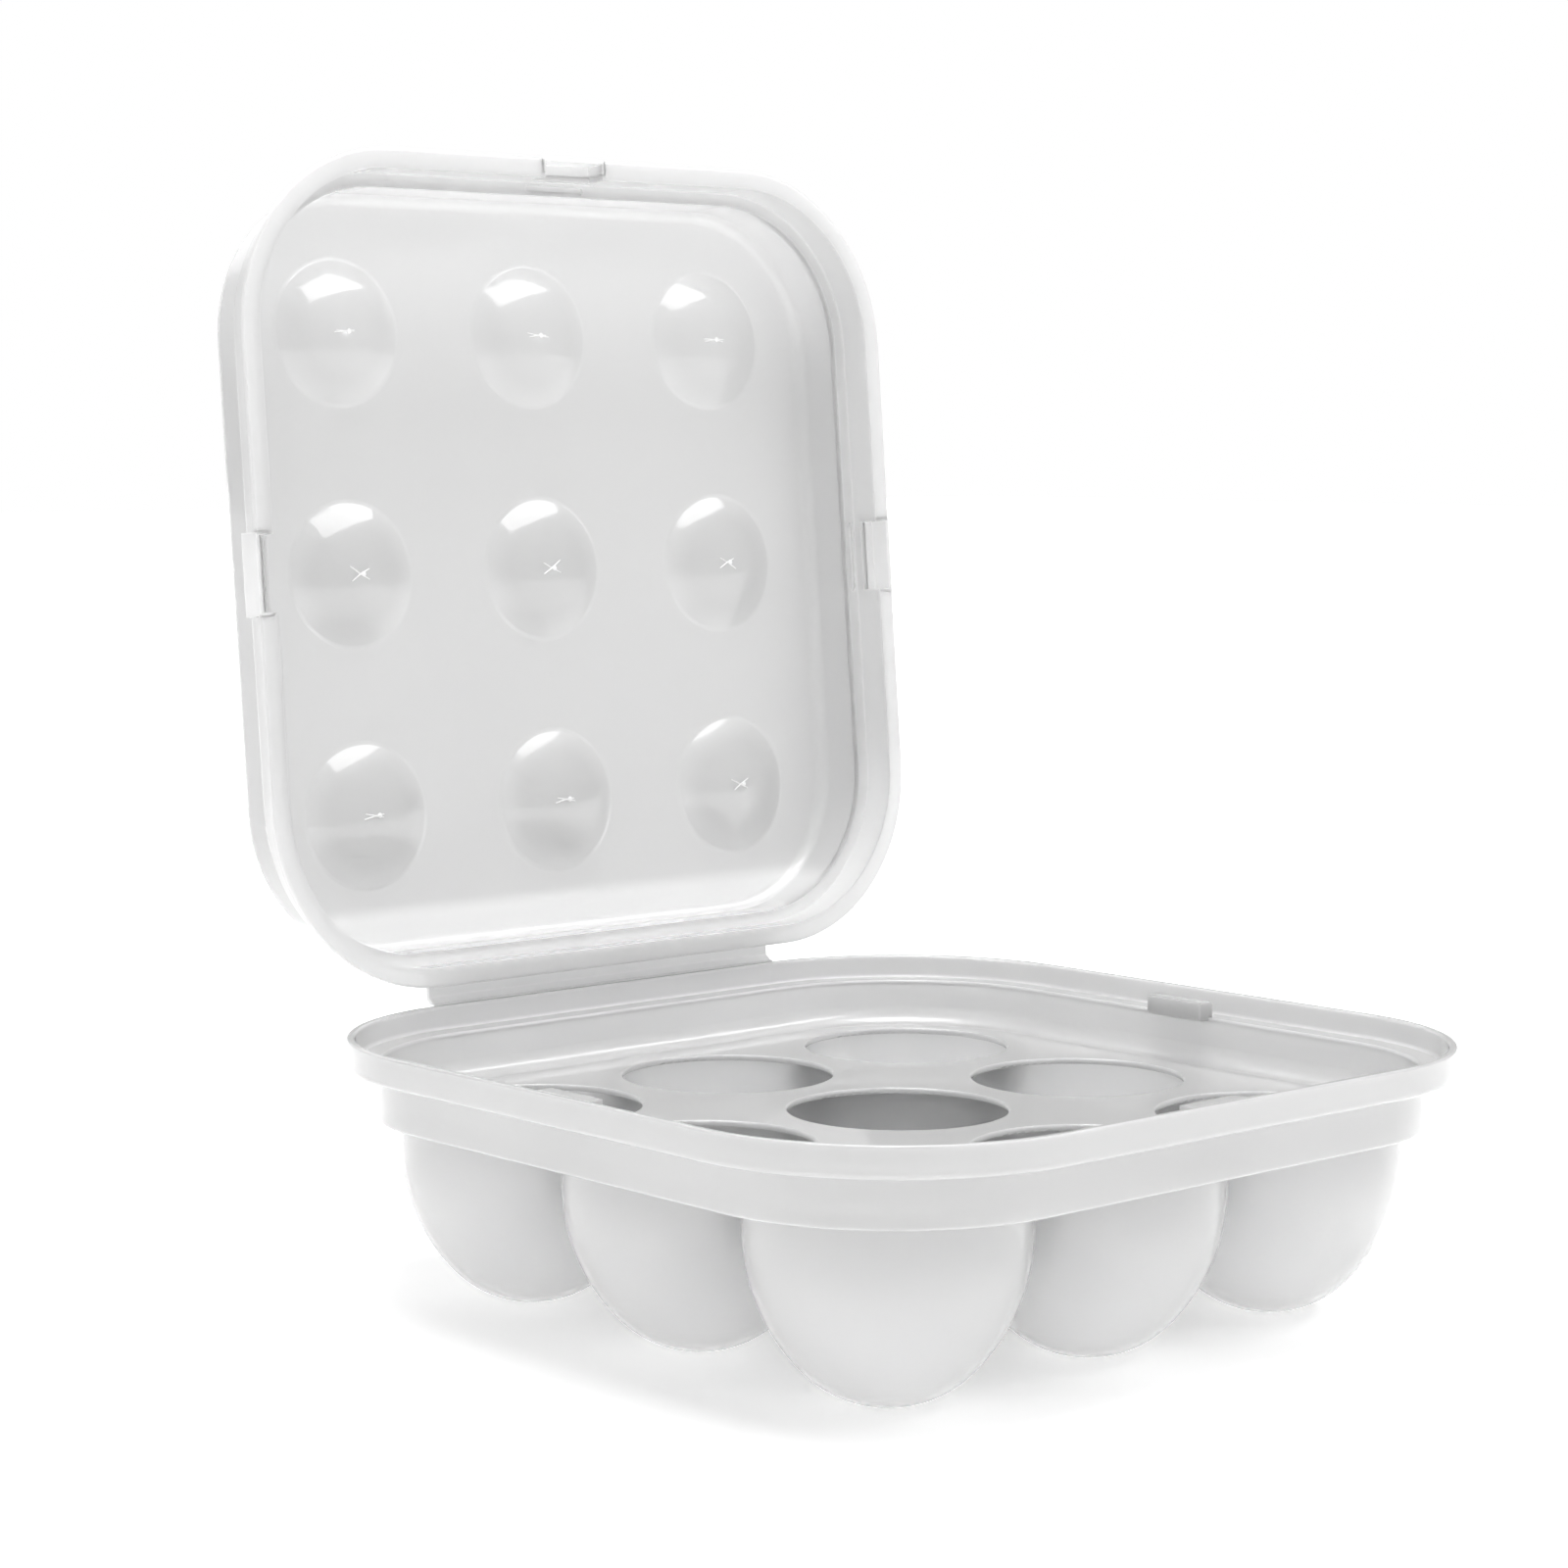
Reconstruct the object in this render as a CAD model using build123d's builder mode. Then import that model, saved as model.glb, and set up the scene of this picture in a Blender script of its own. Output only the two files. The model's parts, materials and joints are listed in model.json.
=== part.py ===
"""Nine-cell egg box with a flip lid, moulded in translucent polypropylene.

Frame: +Z up, front at -Y, hinge at +Y, origin under the foot of the middle cup, so the box
stands on Z = 0. All sizes are in millimetres. The lid is built where it stands when open.
"""
import os
from math import acos, atan2, degrees

from build123d import *

# ---- Egg cells -------------------------------------------------------------------------
cells_per_side = 3          # cups along each side of the box
cell_pitch = 48.9           # from one cup's centre to the next
cup_merge = 0.4             # how far a cup reaches past the middle of the gap to its neighbour
cup_wall = 1.0              # wall of a cup
cup_straight = 5.7          # straight part of a cup, under the deck
tip_radius = 21.0           # round of a cup's lower end
foot_radius = 4.2           # flat foot under a cup
mouth_overhang = 3.05       # how far the deck reaches in over a cup's wall
mouth_round = 0.5           # rounding of the deck's edge round a mouth

# ---- Base ------------------------------------------------------------------------------
base_height = 51.0          # table to the top of the lip
deck_depth = 13.9           # top of the lip to the top of the deck
deck_thickness = 1.2
deck_margin = 1.75          # outermost cup wall to the edge of the deck
cove_radius = 3.5           # hollow round between the skirt and the floor
floor_ring = 4.0            # floor between the deck's edge and the skirt
skirt_wall = 1.2
skirt_inset = 5.3           # outside of the lip to the outside of the skirt
skirt_round = 0.5           # bottom edge of the skirt
lip_wall = 1.6
lip_height = 4.6            # top of the lip to the ledge that the lid sits on
lip_edge_round = 0.5        # top edges of the lip
lip_under_round = 1.1       # bottom outer edge of the lip
ledge_thickness = 1.2
ledge_round = 0.6           # inner edge of the ledge, and the hollow round beside the lip
corner_shift = 5.9          # how far the corners' centres lie inside the corner cups' centres

# ---- Catches on the ledge ---------------------------------------------------------------
catch_length = 14.2
catch_thickness = 3.7
catch_height = 3.2          # above the ledge
catch_drop = 0.5            # how far its inner face hangs below the ledge
catch_overhang = 2.6        # how far it stands in from the skirt's inner face
catch_lead = 0.7            # slanted lead-in along its top

# ---- Lid -------------------------------------------------------------------------------
lid_gap = 2.3               # inside of the lip to the lid's flange
lid_seat_gap = 0.15         # ledge to the shut lid's flange
lid_corner_shift = 3.3      # how far the lid's corner centres lie inside the corner cups' centres
lid_wall = 1.1
flange_reach = 2.8          # flange outside the lid's lower wall
flange_thickness = 1.2
lower_wall_height = 7.0     # flange's underside to the step
step_width = 2.7            # outside of the lower wall to the outside of the upper wall
panel_depth = 18.7          # flange's underside to the inside of the panel
panel_round = 3.4           # outer edge of the panel
step_round = 0.8            # outer edge of the step
flange_round = 0.4          # outer edges of the flange
dome_pitch = 48.1           # from one dome's centre to the next
dome_radius = 14.6          # round of an egg-steadying dome, where it leaves the panel
dome_height = 3.4           # how far a dome reaches in towards its egg
dome_round = 2.0            # hollow round at the foot of a dome
dimple_round = 1.0          # rounding of the dimple's edge on the panel's outside

# ---- Snap tabs of the lid --------------------------------------------------------------
tab_pocket_length = 14.8    # inside of the pocket, along the side
tab_pocket_depth = 4.8      # flange's underside to the pocket's roof
tab_wall = 0.6
tab_round = 0.4
core_mark_depth = 0.6       # shallow slot in the step behind each tab
core_mark_width = 1.5

# ---- Living hinge ----------------------------------------------------------------------
hinge_length = 89.0         # along the back side
open_angle = 95.0           # lid's opening angle as it stands
web_radius = 0.35           # the thin bending line, as a rod
web_clearance = 0.15        # bending line to the end of the leaf
lip_clearance = 0.05        # how far the leaf clears the lip, shut and folded right back
leaf_thickness = 0.95
leaf_underside = 1.55       # top of the lip to the underside of the shut leaf

# ---- Worked out from these -------------------------------------------------------------
cell_half = cell_pitch / 2
corner_cup = cell_pitch * (cells_per_side - 1) / 2
cup_radius = cell_half + cup_merge
mouth_radius = cup_radius - cup_wall - mouth_overhang

deck_top = base_height - deck_depth
deck_underside = deck_top - deck_thickness
cup_equator = deck_underside - cup_straight
tip_centre = (tip_radius ** 2 - foot_radius ** 2) ** 0.5
tip_drop = cup_equator - tip_centre
side_radius = (cup_radius ** 2 + tip_drop ** 2 - tip_radius ** 2) / (2 * (cup_radius - tip_radius))
side_turn = degrees(atan2(tip_drop, side_radius - cup_radius))
ledge_top = base_height - lip_height
ledge_underside = ledge_top - ledge_thickness

deck_half = corner_cup + cup_radius + deck_margin
skirt_inner_half = deck_half + floor_ring
skirt_half = skirt_inner_half + skirt_wall
lip_half = skirt_half + skirt_inset
lip_inner_half = lip_half - lip_wall
base_core = corner_cup - corner_shift

flange_half = lip_inner_half - lid_gap
lower_half = flange_half - flange_reach
lower_inner_half = lower_half - lid_wall
upper_half = lower_half - step_width
upper_inner_half = upper_half - lid_wall
lid_core = corner_cup - lid_corner_shift
lid_rim_level = ledge_top + lid_seat_gap
step_top = lower_wall_height + lid_wall
panel_top = panel_depth + lid_wall

hinge_y = lip_half
hinge_z = base_height
hinge_half_length = hinge_length / 2
catch_inner = skirt_inner_half - catch_overhang
catch_outer = catch_inner + catch_thickness
tab_pocket_reach = flange_half - tab_wall

side_directions = {"front": (0, -1), "left": (-1, 0), "right": (1, 0)}
row_names = ["front", "middle", "back"]
column_names = ["left", "centre", "right"]


# ---- Helpers ---------------------------------------------------------------------------
def rounded_square(half, core):
    """A square of one half side whose corners turn about centres at +-core."""
    RectangleRounded(2 * half, 2 * half, half - core)


def square_ring(outer, inner, core):
    """The band between two rounded squares with the same corner centres."""
    rounded_square(outer, core)
    RectangleRounded(2 * inner, 2 * inner, inner - core, mode=Mode.SUBTRACT)


def edges_round(shape, plane, half, core):
    """The edges of a shape that lie in a plane and follow one rounded square."""
    def follows(edge):
        spot = plane.to_local_coords(edge @ 0.5)
        reach = Vector(max(abs(spot.X) - core, 0), max(abs(spot.Y) - core, 0))
        return abs(spot.Z) < 0.001 and abs(reach.length - (half - core)) < 0.001
    return shape.edges().filter_by(follows)


def round_edges(shape, radius):
    """The circular edges of one radius."""
    return shape.edges().filter_by(GeomType.CIRCLE).filter_by(
        lambda edge: abs(edge.radius - radius) < 0.01)


def side_of(plane, side):
    """The same plane turned so that its local x points out of one side of the box."""
    across, along = side_directions[side]
    outward = plane.x_dir * across + plane.y_dir * along
    return Plane(origin=plane.origin, x_dir=outward, z_dir=plane.z_dir)


def tab_roof_edges(shape, side):
    """A tab's outer roof edges: along its face and down its two ends."""
    frame = side_of(lid_level(tab_pocket_depth + tab_wall), side)
    def outer(edge):
        middle = frame.to_local_coords(edge @ 0.5)
        return abs(middle.Z) < 0.001 and middle.X > lower_half + 0.001
    return shape.edges().filter_by(outer)


def section_of(plane, side):
    """The upright section through the middle of one side: local x out, local y up."""
    outward = side_of(plane, side)
    return Plane(origin=outward.origin, x_dir=outward.x_dir, z_dir=-outward.y_dir)


def base_level(height):
    """Level plane at a height above the table."""
    return Plane.XY.offset(height)


hinge_frame = Plane(origin=(0, hinge_y, hinge_z)).rotated((-open_angle, 0, 0))


def lid_level(height):
    """Plane of the lid, centred on it, at a height above its flange's underside when shut."""
    centre = hinge_frame.from_local_coords(Vector(0, -hinge_y, lid_rim_level - hinge_z + height))
    return Plane(origin=centre, x_dir=hinge_frame.x_dir, z_dir=hinge_frame.z_dir)


# The hinge's section: local x towards the back and local y up when the lid is shut.
hinge_section = Plane(origin=hinge_frame.origin, x_dir=hinge_frame.y_dir, z_dir=hinge_frame.x_dir)


def write_piece(builder, name):
    """Label a finished piece and write it as a STEP file."""
    builder.part.label = name
    export_step(builder.part, f"parts/{name}.step")


os.makedirs("parts", exist_ok=True)


# ---- Base rim: lip, ledge, skirt and the floor beside it -------------------------------
with BuildPart() as base_rim:
    with BuildSketch(base_level(ledge_underside)):
        square_ring(lip_half, skirt_inner_half, base_core)
    extrude(amount=base_height - ledge_underside)
    with BuildSketch(base_level(ledge_top)):
        rounded_square(lip_inner_half, base_core)
    extrude(amount=lip_height, mode=Mode.SUBTRACT)
    with BuildSketch(base_level(deck_underside)):
        square_ring(skirt_half, skirt_inner_half, base_core)
    extrude(amount=ledge_underside - deck_underside)
    with BuildSketch(base_level(deck_underside)):
        square_ring(skirt_inner_half, deck_half, base_core)
    extrude(amount=deck_thickness)
    fillet(edges_round(base_rim, base_level(deck_top), skirt_inner_half, base_core), cove_radius)
    fillet(edges_round(base_rim, base_level(deck_underside), skirt_half, base_core), skirt_round)
    fillet(edges_round(base_rim, base_level(ledge_underside), lip_half, base_core), lip_under_round)
    fillet(edges_round(base_rim, base_level(ledge_top), skirt_inner_half, base_core), ledge_round)
    fillet(edges_round(base_rim, base_level(ledge_top), lip_inner_half, base_core), ledge_round)
    fillet(edges_round(base_rim, base_level(base_height), lip_half, base_core), lip_edge_round)
    fillet(edges_round(base_rim, base_level(base_height), lip_inner_half, base_core), lip_edge_round)
    # The lip's top outer edge is grooved for the hinge's bending line.
    with BuildSketch(hinge_section):
        Circle(web_radius)
    extrude(amount=hinge_half_length, both=True, mode=Mode.SUBTRACT)
write_piece(base_rim, "base_rim")


# ---- Egg deck: the plate with nine round mouths -----------------------------------------
with BuildPart() as egg_deck:
    with BuildSketch(base_level(deck_underside)):
        rounded_square(deck_half, base_core)
        with GridLocations(cell_pitch, cell_pitch, cells_per_side, cells_per_side):
            Circle(mouth_radius, mode=Mode.SUBTRACT)
    extrude(amount=deck_thickness)
    fillet(round_edges(egg_deck, mouth_radius), mouth_round)
write_piece(egg_deck, "egg_deck")


# ---- Egg cups ---------------------------------------------------------------------------
def cup_side(inset):
    """Side of a cup at a depth inside its wall: straight, a long arc, and the tip's round."""
    side = side_radius - inset
    tip = tip_radius - inset
    foot = (tip ** 2 - (tip_centre - inset) ** 2) ** 0.5
    Line((cup_radius - inset, deck_underside), (cup_radius - inset, cup_equator))
    CenterArc((cup_radius - side_radius, cup_equator), side, 0, -side_turn)
    CenterArc((0, tip_centre), tip, -side_turn, side_turn - degrees(acos(foot / tip)))
    return Vector(foot, inset)


def neighbour_reach(index):
    """How far a cup reaches to its lower and its higher side before it meets a neighbour."""
    below = cell_half if index > 0 else cup_radius
    above = cell_half if index < cells_per_side - 1 else cup_radius
    return below, above


for row, row_name in enumerate(row_names):
    for column, column_name in enumerate(column_names):
        centre_x = column * cell_pitch - corner_cup
        centre_y = row * cell_pitch - corner_cup
        left, right = neighbour_reach(column)
        front, back = neighbour_reach(row)
        with BuildPart() as egg_cup:
            with BuildSketch(Plane(origin=(centre_x, centre_y, 0), x_dir=(1, 0, 0), z_dir=(0, -1, 0))):
                with BuildLine():
                    foot_outside = cup_side(0)
                    foot_inside = cup_side(cup_wall)
                    Polyline(foot_outside, (0, 0), (0, cup_wall), foot_inside)
                    Line((cup_radius - cup_wall, deck_underside), (cup_radius, deck_underside))
                make_face()
            revolve(axis=Axis((centre_x, centre_y, 0), (0, 0, 1)))
            with BuildSketch():
                with Locations((centre_x + (right - left) / 2, centre_y + (back - front) / 2)):
                    Rectangle(left + right, front + back)
            extrude(amount=base_height, mode=Mode.INTERSECT)
        write_piece(egg_cup, f"egg_cup_{row_name}_{column_name}")


# ---- Catches: lugs on the ledge that stand in the lid's tab pockets ---------------------
for side in side_directions:
    with BuildPart() as catch:
        with BuildSketch(section_of(Plane.XY, side)):
            with BuildLine():
                Polyline(
                    (catch_inner, ledge_top - catch_drop),
                    (skirt_inner_half, ledge_top - catch_drop),
                    (skirt_inner_half, ledge_top),
                    (catch_outer, ledge_top),
                    (catch_outer, ledge_top + catch_height - catch_lead),
                    (catch_outer - catch_lead, ledge_top + catch_height),
                    (catch_inner, ledge_top + catch_height),
                    close=True,
                )
            make_face()
        extrude(amount=catch_length / 2, both=True)
    write_piece(catch, f"catch_{side}")


# ---- Hinge web: the bending line along the straight part of the back side ---------------
with BuildPart() as hinge_web:
    with BuildSketch(hinge_section):
        Circle(web_radius)
    extrude(amount=hinge_half_length, both=True)
write_piece(hinge_web, "hinge_web")


# ---- Lid rim: flange, lower wall and step -----------------------------------------------
tab_half = tab_pocket_length / 2 + tab_wall
with BuildPart() as lid_rim:
    with BuildSketch(lid_level(0)):
        square_ring(flange_half, lower_inner_half, lid_core)
    extrude(amount=flange_thickness)
    with BuildSketch(lid_level(flange_thickness)):
        square_ring(lower_half, lower_inner_half, lid_core)
    extrude(amount=lower_wall_height - flange_thickness)
    with BuildSketch(lid_level(lower_wall_height)):
        square_ring(lower_half, upper_inner_half, lid_core)
    extrude(amount=lid_wall)
    fillet(edges_round(lid_rim, lid_level(step_top), lower_half, lid_core), step_round)
    fillet(edges_round(lid_rim, lid_level(0), flange_half, lid_core), flange_round)
    fillet(edges_round(lid_rim, lid_level(flange_thickness), flange_half, lid_core), flange_round)
    for side in side_directions:
        # Window for the tab: through the flange, and its pocket's width through the wall.
        with BuildSketch(side_of(lid_level(0), side)):
            with Locations((flange_half, 0)):
                Rectangle(2 * flange_reach, 2 * tab_half)
        extrude(amount=flange_thickness, mode=Mode.SUBTRACT)
        with BuildSketch(side_of(lid_level(0), side)):
            with Locations((lower_half, 0)):
                Rectangle(2 * lid_wall, tab_pocket_length)
        extrude(amount=tab_pocket_depth, mode=Mode.SUBTRACT)
        # Shallow slot in the step behind it.
        with BuildSketch(side_of(lid_level(lower_wall_height), side)):
            with Locations(((lower_inner_half + upper_inner_half) / 2, 0)):
                SlotOverall(tab_pocket_length, core_mark_width, rotation=90)
        extrude(amount=core_mark_depth, mode=Mode.SUBTRACT)
write_piece(lid_rim, "lid_rim")


# ---- Lid cover: upper wall and panel with nine domes ------------------------------------
dome_sphere = (dome_radius ** 2 + dome_height ** 2) / (2 * dome_height)
dome_centre = dome_sphere - dome_height
dimple_sphere = dome_sphere - lid_wall
dimple_radius = (dimple_sphere ** 2 - (dome_centre - lid_wall) ** 2) ** 0.5

# Both are drawn on the panel's inside, at the origin.
with BuildPart() as dome:
    with BuildSketch(Plane.XZ):
        with Locations((0, dome_centre)):
            Circle(dome_sphere)
        Rectangle(dome_sphere, dome_height, align=(Align.MIN, Align.MAX), mode=Mode.INTERSECT)
    revolve(axis=Axis.Z)

with BuildPart() as dimple:
    with BuildSketch(Plane.XZ):
        with Locations((0, dome_centre)):
            Circle(dimple_sphere)
        with Locations((0, -dome_height)):
            Rectangle(dome_sphere, dome_height + 2 * lid_wall, align=(Align.MIN, Align.MIN),
                      mode=Mode.INTERSECT)
    revolve(axis=Axis.Z)

with BuildPart() as lid_cover:
    with BuildSketch(lid_level(step_top)):
        rounded_square(upper_half, lid_core)
    extrude(amount=panel_top - step_top)
    fillet(edges_round(lid_cover, lid_level(panel_top), upper_half, lid_core), panel_round)
    with BuildSketch(lid_level(step_top)):
        rounded_square(upper_inner_half, lid_core)
    extrude(amount=panel_depth - step_top, mode=Mode.SUBTRACT)
    fillet(edges_round(lid_cover, lid_level(panel_depth), upper_inner_half, lid_core),
           panel_round - lid_wall)
    with Locations(lid_level(panel_depth)):
        with GridLocations(dome_pitch, dome_pitch, cells_per_side, cells_per_side):
            add(dome.part)
            add(dimple.part, mode=Mode.SUBTRACT)
    fillet(round_edges(lid_cover, dome_radius), dome_round)
    fillet(round_edges(lid_cover, dimple_radius), dimple_round)
write_piece(lid_cover, "lid_cover")


# ---- Snap tabs: pockets on the lid's front, left and right ------------------------------
for side in side_directions:
    with BuildPart() as tab:
        with BuildSketch(side_of(lid_level(0), side)):
            with Locations((lower_half, 0)):
                Rectangle(flange_reach, 2 * tab_half, align=(Align.MIN, Align.CENTER))
        extrude(amount=tab_pocket_depth + tab_wall)
        fillet(tab_roof_edges(tab, side), tab_round)
        with BuildSketch(side_of(lid_level(0), side)):
            with Locations((lower_half, 0)):
                Rectangle(flange_reach - tab_wall, tab_pocket_length,
                          align=(Align.MIN, Align.CENTER))
        extrude(amount=tab_pocket_depth, mode=Mode.SUBTRACT)
    write_piece(tab, f"tab_{side}")


# ---- Hinge leaf: a flat strip off the lid that bends down at 45 degrees to the web ------
# Its end is upright when the lid is shut, so it lies along the lip when folded right back.
leaf_start = -(hinge_y - lower_half)
leaf_top = leaf_underside + leaf_thickness
leaf_end = leaf_thickness * 2 ** 0.5
with BuildPart() as lid_hinge_leaf:
    with BuildSketch(hinge_section):
        with BuildLine():
            Polyline(
                (leaf_start, leaf_underside),
                (lip_clearance - leaf_underside, leaf_underside),
                (-lip_clearance, 2 * lip_clearance),
                (-lip_clearance, 2 * lip_clearance + leaf_end),
                (lip_clearance + leaf_end - leaf_top, leaf_top),
                (leaf_start, leaf_top),
                close=True,
            )
        make_face()
        Circle(web_radius + web_clearance, mode=Mode.SUBTRACT)
    extrude(amount=hinge_half_length, both=True)
write_piece(lid_hinge_leaf, "lid_hinge_leaf")
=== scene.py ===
"""Nine-cell egg box with a flip lid: looks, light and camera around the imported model.

Everything is in metres, in the model's frame: +Z up, front at -Y, hinge at +Y.
"""
import json
import math
import random

import bmesh
import bpy
from mathutils import Matrix, Vector


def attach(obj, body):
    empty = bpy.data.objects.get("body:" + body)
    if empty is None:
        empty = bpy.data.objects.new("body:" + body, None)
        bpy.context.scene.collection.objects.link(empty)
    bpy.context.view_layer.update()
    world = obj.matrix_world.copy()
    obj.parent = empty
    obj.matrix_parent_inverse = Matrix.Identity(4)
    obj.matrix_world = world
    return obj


MM = 0.001

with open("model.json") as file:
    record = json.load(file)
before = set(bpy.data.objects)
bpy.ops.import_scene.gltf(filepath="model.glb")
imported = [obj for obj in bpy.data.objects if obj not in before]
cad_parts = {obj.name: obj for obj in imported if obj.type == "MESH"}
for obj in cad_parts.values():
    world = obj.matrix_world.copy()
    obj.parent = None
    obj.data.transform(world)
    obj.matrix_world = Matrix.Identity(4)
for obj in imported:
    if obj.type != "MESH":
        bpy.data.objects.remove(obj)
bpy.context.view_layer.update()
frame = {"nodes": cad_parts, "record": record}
nodes = frame["nodes"]
scene = bpy.context.scene


# ---- Camera: where the photograph was taken from ----------------------------------------
PHOTO_SIDE = 1600                                   # pixels
FOCAL_PIXELS = 3610.6
CAMERA_PLACE = Vector((-453.4, -475.3, 163.6)) * MM
CAMERA_TURN = math.radians(41.78)                   # to the left of the front
CAMERA_TILT = math.radians(5.67)                    # downwards

camera_data = bpy.data.cameras.new("camera")
camera_data.sensor_width = 36.0
camera_data.lens = FOCAL_PIXELS * camera_data.sensor_width / PHOTO_SIDE
camera = bpy.data.objects.new("camera", camera_data)
camera.location = CAMERA_PLACE
camera.rotation_euler = (math.pi / 2 - CAMERA_TILT, 0, -CAMERA_TURN)
scene.collection.objects.link(camera)
scene.camera = camera


# ---- The lid as it stands ----------------------------------------------------------------
LID_TURN = math.radians(95.0)                       # from shut
HINGE = Vector((0, 86.0, 51.0)) * MM
DOME_TIPS = 10.85 * MM                              # past the hinge line, along the lid's normal
DOME_PITCH = 48.1 * MM
DOME_RADIUS = 14.6 * MM
RIGHT = Vector((1, 0, 0))
UP = Vector((0, -math.cos(LID_TURN), math.sin(LID_TURN)))
OUT = RIGHT.cross(UP)
MIDDLE_TIP = HINGE + UP * HINGE.y - OUT * DOME_TIPS
LID_AXES = Matrix((RIGHT, UP, OUT)).transposed()


# ---- Materials ---------------------------------------------------------------------------
PLASTIC_IOR = 1.49
# The lid's domes are painted darker, a painted shade: this is its grey, and the next line says
# where within a dome's radius it is full.
DOME_PAINTED_SHADE = 0.66
DOME_FLAT = 0.6                                     # of a dome's radius: its tint is full here
SCATTER = 3 * MM                                    # how far light wanders inside the plastic
TINT_DRIFT = 0.015                                  # how far the body's tint drifts, each way
SATIN = (0.34, 0.46)                                # roughness, from where to where
GLINT = (0.15, 0.35)                                # the same for a scar
# Edges get a painted highlight: the plastic is painted lighter within this reach of an edge.
EDGE_RADIUS = 0.7 * MM
EDGE_STARTS, EDGE_COMPLETE = 0.995, 0.93            # cosine between true and rounded normal


def grey(level):
    """A neutral colour with full alpha."""
    return (level, level, level, 1.0)


def new_material(name):
    """A material with an empty node tree, its Principled shader and the output."""
    material = bpy.data.materials.new(name)
    material.use_nodes = True
    tree = material.node_tree
    tree.nodes.clear()
    output = tree.nodes.new("ShaderNodeOutputMaterial")
    shader = tree.nodes.new("ShaderNodeBsdfPrincipled")
    tree.links.new(shader.outputs["BSDF"], output.inputs["Surface"])
    return material, tree, shader


def map_range(tree, value, start, end, low=0.0, high=1.0, smooth=False):
    """A socket that goes from low to high as the value goes from start to end."""
    ramp = tree.nodes.new("ShaderNodeMapRange")
    if smooth:
        ramp.interpolation_type = "SMOOTHSTEP"
    ramp.inputs["From Min"].default_value = start
    ramp.inputs["From Max"].default_value = end
    ramp.inputs["To Min"].default_value = low
    ramp.inputs["To Max"].default_value = high
    tree.links.new(value, ramp.inputs["Value"])
    return ramp.outputs["Result"]


def noise(tree, place, scale, detail):
    """A noise socket in the object's own coordinates."""
    cloud = tree.nodes.new("ShaderNodeTexNoise")
    cloud.inputs["Scale"].default_value = scale
    cloud.inputs["Detail"].default_value = detail
    tree.links.new(place.outputs["Object"], cloud.inputs["Vector"])
    return cloud.outputs["Fac"]


def mix(tree, factor, first, second):
    """A colour socket between two greys, or between a colour socket and a grey."""
    blend = tree.nodes.new("ShaderNodeMix")
    blend.data_type = "RGBA"
    tree.links.new(factor, blend.inputs["Factor"])
    if isinstance(first, float):
        blend.inputs["A"].default_value = grey(first)
    else:
        tree.links.new(first, blend.inputs["A"])
    blend.inputs["B"].default_value = grey(second)
    return blend.outputs["Result"]


def vector_math(tree, operation, first):
    """A vector node that works on the given socket."""
    node = tree.nodes.new("ShaderNodeVectorMath")
    node.operation = operation
    tree.links.new(first, node.inputs[0])
    return node


def inside_dome(tree, place):
    """A socket that is 1 within a dome of the lid and 0 on the panel round it."""
    flat = tree.nodes.new("ShaderNodeMapping")
    flat.vector_type = "TEXTURE"
    flat.inputs["Location"].default_value = MIDDLE_TIP
    flat.inputs["Rotation"].default_value = LID_AXES.to_euler()
    tree.links.new(place.outputs["Object"], flat.inputs["Vector"])
    nearest = vector_math(tree, "WRAP", flat.outputs["Vector"])
    nearest.inputs[1].default_value = (DOME_PITCH / 2, DOME_PITCH / 2, 1.0)
    nearest.inputs[2].default_value = (-DOME_PITCH / 2, -DOME_PITCH / 2, -1.0)
    level = vector_math(tree, "MULTIPLY", nearest.outputs["Vector"])
    level.inputs[1].default_value = (1.0, 1.0, 0.0)
    reach = vector_math(tree, "LENGTH", level.outputs["Vector"])
    return map_range(tree, reach.outputs["Value"],
                     DOME_RADIUS, DOME_FLAT * DOME_RADIUS, smooth=True)


def near_edge(tree):
    """A socket that rises to 1 along sharp edges, where a rounded normal leaves the true one."""
    rounded = tree.nodes.new("ShaderNodeBevel")
    rounded.samples = 4
    rounded.inputs["Radius"].default_value = EDGE_RADIUS
    face = tree.nodes.new("ShaderNodeNewGeometry")
    same_way = vector_math(tree, "DOT_PRODUCT", rounded.outputs["Normal"])
    tree.links.new(face.outputs["Normal"], same_way.inputs[1])
    return map_range(tree, same_way.outputs["Value"], EDGE_STARTS, EDGE_COMPLETE)


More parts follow.
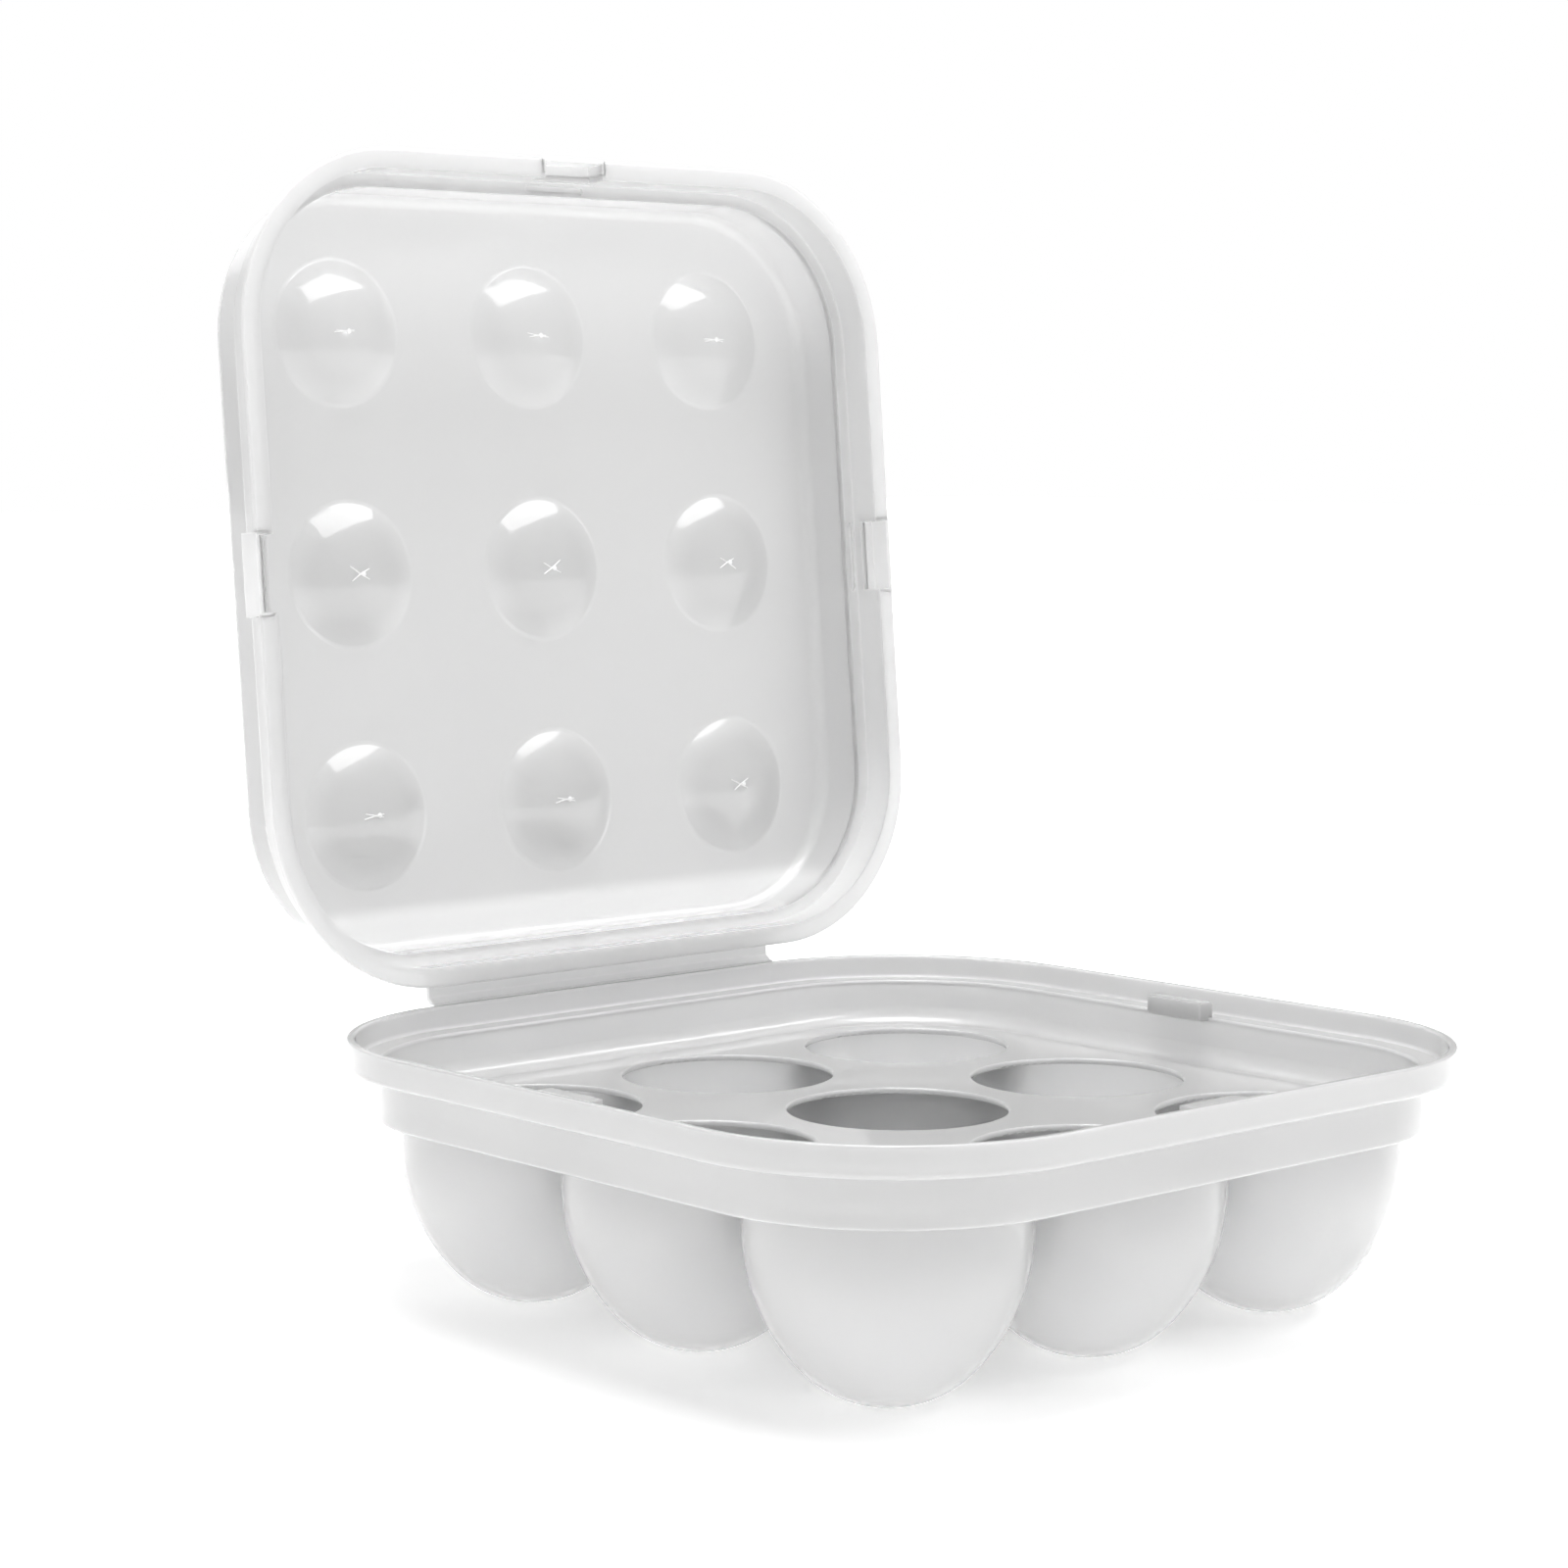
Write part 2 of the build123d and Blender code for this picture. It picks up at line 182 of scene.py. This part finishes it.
def polypropylene(name, body, painted_light_grey, clear, painted_light_ranges=(), painted_dome_shade=False):
    """Milky moulded plastic that light passes through, under a satin skin.

    The body's tone drifts a little at random, and along its edges the plastic is painted
    lighter, a painted highlight. Each range it is given paints it lighter too, as painted light:
    each range there is an axis, where the change starts and where it is complete, in metres.
    The domes of the lid are painted darker, a painted shade.
    """
    material, tree, shader = new_material(name)
    shader.inputs["IOR"].default_value = PLASTIC_IOR
    shader.inputs["Transmission Weight"].default_value = clear
    shader.inputs["Subsurface Weight"].default_value = 1.0
    shader.inputs["Subsurface Radius"].default_value = (1.0, 1.0, 1.0)
    shader.inputs["Subsurface Scale"].default_value = SCATTER
    shader.inputs["Coat Weight"].default_value = 1.0
    shader.inputs["Coat Roughness"].default_value = 0.06
    shader.inputs["Coat IOR"].default_value = 1.5
    place = tree.nodes.new("ShaderNodeTexCoord")

    cloud = noise(tree, place, 22.0, 3.0)
    tint = mix(tree, cloud, body - TINT_DRIFT, body + TINT_DRIFT)
    # Painted shade: the domes of the lid are painted darker.
    if painted_dome_shade:
        tint = mix(tree, inside_dome(tree, place), tint, DOME_PAINTED_SHADE)
    # Painted highlight: lighter along the edges; the ranges below add more painted light.
    painted_light_mask = near_edge(tree)
    apart = tree.nodes.new("ShaderNodeSeparateXYZ")
    tree.links.new(place.outputs["Object"], apart.inputs["Vector"])
    # Painted light: along each range the plastic is painted lighter.
    for axis, start, complete in painted_light_ranges:
        either = tree.nodes.new("ShaderNodeMath")
        either.operation = "MAXIMUM"
        tree.links.new(painted_light_mask, either.inputs[0])
        ramp = map_range(tree, apart.outputs[axis], start, complete, smooth=True)
        tree.links.new(ramp, either.inputs[1])
        painted_light_mask = either.outputs["Value"]
    tree.links.new(mix(tree, painted_light_mask, tint, painted_light_grey), shader.inputs["Base Color"])
    satin = map_range(tree, cloud, 0.0, 1.0, *SATIN)
    tree.links.new(satin, shader.inputs["Roughness"])

    grain = tree.nodes.new("ShaderNodeBump")
    grain.inputs["Strength"].default_value = 0.03
    grain.inputs["Distance"].default_value = 0.1 * MM
    tree.links.new(noise(tree, place, 900.0, 2.0), grain.inputs["Height"])
    tree.links.new(grain.outputs["Normal"], shader.inputs["Normal"])
    return material


def scar_plastic():
    """Torn, stress-whitened plastic that glints."""
    material, tree, shader = new_material("scar_plastic")
    shader.inputs["IOR"].default_value = PLASTIC_IOR
    place = tree.nodes.new("ShaderNodeTexCoord")
    torn = noise(tree, place, 2500.0, 2.0)
    tree.links.new(mix(tree, torn, 0.95, 1.0), shader.inputs["Base Color"])
    glint = map_range(tree, torn, 0.0, 1.0, *GLINT)
    tree.links.new(glint, shader.inputs["Roughness"])
    return material


# Copies of one plastic: their body greys differ as painted light, each part set lighter or darker
# to match how light falls on it.
BASE_PLASTIC = polypropylene("base_plastic", 0.78, 0.98, 0.45)
# Painted light: the cups are painted lighter towards their bottoms.
CUP_PLASTIC = polypropylene("cup_plastic", 0.85, 0.98, 0.5, painted_light_ranges=(("Z", 0.034, 0.008),))
# Painted light: the lid is painted lighter towards the top of its panel and at its lowest part,
# and its domes get a painted shade.
LID_PLASTIC = polypropylene("lid_plastic", 0.74, 0.99, 0.45, painted_dome_shade=True,
                            painted_light_ranges=(("Z", 0.165, 0.214), ("Z", 0.070, 0.066)))
# Painted light: the lid's rim is painted lighter towards its lower part.
LID_RIM_PLASTIC = polypropylene("lid_rim_plastic", 0.83, 0.99, 0.35, painted_light_ranges=(("Z", 0.105, 0.080),))
HINGE_PLASTIC = polypropylene("hinge_plastic", 0.95, 0.99, 0.2)
TAB_PLASTIC = polypropylene("tab_plastic", 0.87, 0.99, 0.2)
SCAR_PLASTIC = scar_plastic()
SLOT_PLASTICS = {
    "base_polypropylene": BASE_PLASTIC,
    "lid_polypropylene": LID_PLASTIC,
    "hinge_polypropylene": HINGE_PLASTIC,
}
NODE_PLASTICS = {"egg_cup": CUP_PLASTIC, "tab_": TAB_PLASTIC, "lid_rim": LID_RIM_PLASTIC}

for subpart in frame["record"]["subparts"]:
    plastic = SLOT_PLASTICS[subpart["material_slot"]]
    for start_of_name, special in NODE_PLASTICS.items():
        if subpart["node"].startswith(start_of_name):
            plastic = special
    for material_slot in nodes[subpart["node"]].material_slots:
        material_slot.material = plastic


# ---- Gate marks: a small torn scar on the inner tip of each dome --------------------------
ARM_WIDTH = 0.5 * MM
ARM_HEIGHT = 0.22 * MM
SUNK = 0.08 * MM                                    # foot of a scar below the dome's tip
ARM_LENGTHS = (2.0, 2.9)                            # mm
ARM_DRIFT = 0.12                                    # radians, each way
BEAD_PLACES = (0.6, 1.2)                            # mm from the middle
BEAD_RADIUS = 0.6 * MM
BEAD_FLATNESS = 0.4
LEVEL, CROSSED = 0.12, 0.5                          # radians that arms open to either side


def arm(bm, angle, length):
    """A low ridge that runs from the middle of the scar and dies away."""
    along = Vector((math.cos(angle), math.sin(angle), 0))
    across = Vector((-along.y, along.x, 0)) * ARM_WIDTH / 2
    ridge = Vector((0, 0, ARM_HEIGHT))
    tip = along * length
    near = [bm.verts.new(point) for point in (-across, across, ridge)]
    far = [bm.verts.new(point) for point in (tip - across / 2, tip + across / 2, tip + ridge / 2)]
    bm.faces.new(near)
    bm.faces.new(reversed(far))
    for first, second in ((0, 1), (1, 2), (2, 0)):
        bm.faces.new((near[second], near[first], far[first], far[second]))


def bead(bm, middle, radius):
    """A small low blob, flattened against the dome."""
    flat = Matrix.Diagonal((1.0, 1.0, BEAD_FLATNESS, 1.0))
    bmesh.ops.create_icosphere(bm, subdivisions=2, radius=radius,
                               matrix=Matrix.Translation((middle, 0, 0)) @ flat)


chance = random.Random(4)
for row in (-1, 0, 1):
    for column in (-1, 0, 1):
        spread = LEVEL if row == 1 or (row == -1 and column < 1) else CROSSED
        bm = bmesh.new()
        for side in (0, math.pi):
            for slant in (-spread, spread):
                turn = side + slant + chance.uniform(-ARM_DRIFT, ARM_DRIFT)
                arm(bm, turn, chance.uniform(*ARM_LENGTHS) * MM)
        bead(bm, chance.uniform(*BEAD_PLACES) * MM, BEAD_RADIUS)
        bmesh.ops.recalc_face_normals(bm, faces=bm.faces)
        mesh = bpy.data.meshes.new("gate_mark")
        bm.to_mesh(mesh)
        bm.free()
        mesh.materials.append(SCAR_PLASTIC)
        scar = bpy.data.objects.new(f"gate_mark_{row + 2}_{column + 2}", mesh)
        tip = MIDDLE_TIP + (RIGHT * column + UP * row) * DOME_PITCH - OUT * SUNK
        scar.matrix_world = Matrix.Translation(tip) @ LID_AXES.to_4x4()
        scene.collection.objects.link(scar)
        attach(scar, "lid")


# ---- Floor and light ---------------------------------------------------------------------
FLOOR_SIDE = 12.0
NEAR_GLOW, FAR_GLOW = 0.30, 1.0
GLOW_STARTS, GLOW_COMPLETE = 0.35, 1.0              # metres from the middle of the box
FLOOR_LEVEL = -0.1 * MM                             # just clear of the feet


def plain_floor():
    """A pale floor under the box, lit from within like a light table, and more so far away."""
    half = FLOOR_SIDE / 2
    mesh = bpy.data.meshes.new("floor")
    corners = [(x, y, FLOOR_LEVEL)
               for x, y in ((-half, -half), (half, -half), (half, half), (-half, half))]
    mesh.from_pydata(corners, [], [(0, 1, 2, 3)])
    floor = bpy.data.objects.new("floor", mesh)
    scene.collection.objects.link(floor)
    material, tree, shader = new_material("floor_paper")
    shader.inputs["Base Color"].default_value = grey(0.93)
    shader.inputs["Roughness"].default_value = 0.8
    shader.inputs["Emission Color"].default_value = grey(1.0)
    place = tree.nodes.new("ShaderNodeTexCoord")
    away = vector_math(tree, "LENGTH", place.outputs["Object"])
    glow = map_range(tree, away.outputs["Value"], GLOW_STARTS, GLOW_COMPLETE,
                     NEAR_GLOW, FAR_GLOW)
    tree.links.new(glow, shader.inputs["Emission Strength"])
    mesh.materials.append(material)


def softbox(name, place, aim, width, depth, power):
    """A soft light that faces a point and that the camera doesn't see."""
    data = bpy.data.lights.new(name, "AREA")
    data.shape = "RECTANGLE"
    data.size = width
    data.size_y = depth
    data.energy = power
    lamp = bpy.data.objects.new(name, data)
    lamp.location = place
    lamp.rotation_mode = "QUATERNION"
    lamp.rotation_quaternion = (Vector(aim) - Vector(place)).to_track_quat("-Z", "Y")
    lamp.visible_camera = False
    scene.collection.objects.link(lamp)


def white_room(seen, cast):
    """White all round: as bright as it is seen, and dimmer in the light that it casts."""
    world = bpy.data.worlds.new("room")
    world.use_nodes = True
    tree = world.node_tree
    background = tree.nodes["Background"]
    background.inputs["Color"].default_value = grey(1.0)
    path = tree.nodes.new("ShaderNodeLightPath")
    strength = map_range(tree, path.outputs["Is Camera Ray"], 0.0, 1.0, cast, seen)
    tree.links.new(strength, background.inputs["Strength"])
    scene.world = world


plain_floor()
white_room(1.0, 0.42)
softbox("top_light", (0.0, 0.0, 1.2), (0, 0, 0.05), 0.8, 0.8, 12.0)
softbox("front_right", (0.50, -0.54, 0.86), (0, 0.1, 0.14), 1.0, 0.24, 3.8)
softbox("back_light", (0.0, 0.36, 0.46), (0, 0.1, 0.2), 0.35, 0.35, 0.35)
softbox("near_back", (0.0, 0.27, 0.38), (0, 0.1, 0.2), 0.3, 0.12, 0.14)
softbox("low_back", (0.0, 1.3, 0.3), (0, 0.1, 0.12), 0.8, 0.8, 1.2)
softbox("left_fill", (-1.2, 0.0, 0.5), (0, 0, 0.1), 0.8, 0.8, 1.0)
scene.view_settings.view_transform = "Standard"
